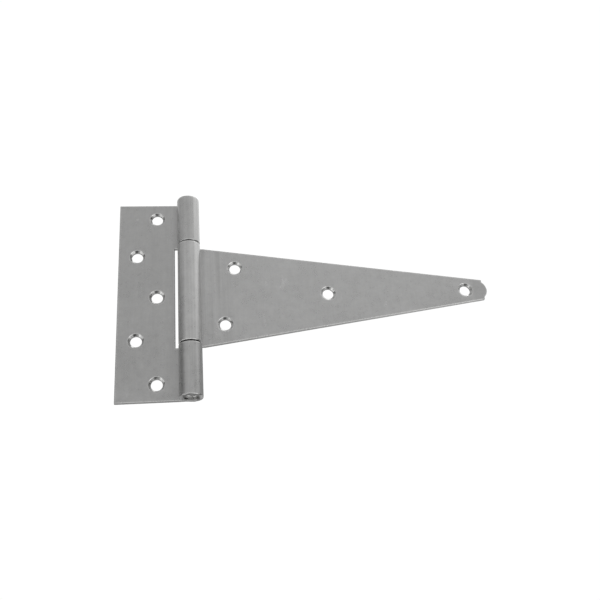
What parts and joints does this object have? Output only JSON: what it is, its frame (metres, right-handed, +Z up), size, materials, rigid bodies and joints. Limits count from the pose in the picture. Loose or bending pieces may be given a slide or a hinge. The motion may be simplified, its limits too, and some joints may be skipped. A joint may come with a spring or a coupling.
{
  "type": "t hinge",
  "caption": "Pressed-steel T hinge: a rectangular flange leaf and a long tapered strap leaf, both with countersunk screw holes, rolled round one plain pin so the strap swings.",
  "frame": {"origin": "on the mounting plane (the back faces of both leaves), straight behind the pin's axis and half way up the barrel", "axes": "+X along the strap from the pin towards the tip, +Y out of the back faces into the gate and its post, +Z up along the pin; the barrel and the countersinks face -Y"},
  "size_m": [0.2454, 0.0145, 0.14],
  "materials": {
    "flange_zinc": "zinc plated, satin",
    "strap_zinc": "zinc plated, satin",
    "pin_steel": "plain cut rod, dull"
  },
  "bodies": {
    "flange": {"flange_leaf": "flange_zinc", "hinge_pin": "pin_steel"},
    "strap": {"strap_leaf": "strap_zinc"}
  },
  "joints": [
    {"name": "strap_swing", "type": "hinge", "parent": "flange", "child": "strap", "pos_m": [0, -0.00725, 0], "axis": [0, 0, -1], "range_deg": [-100, 190]}
  ]
}
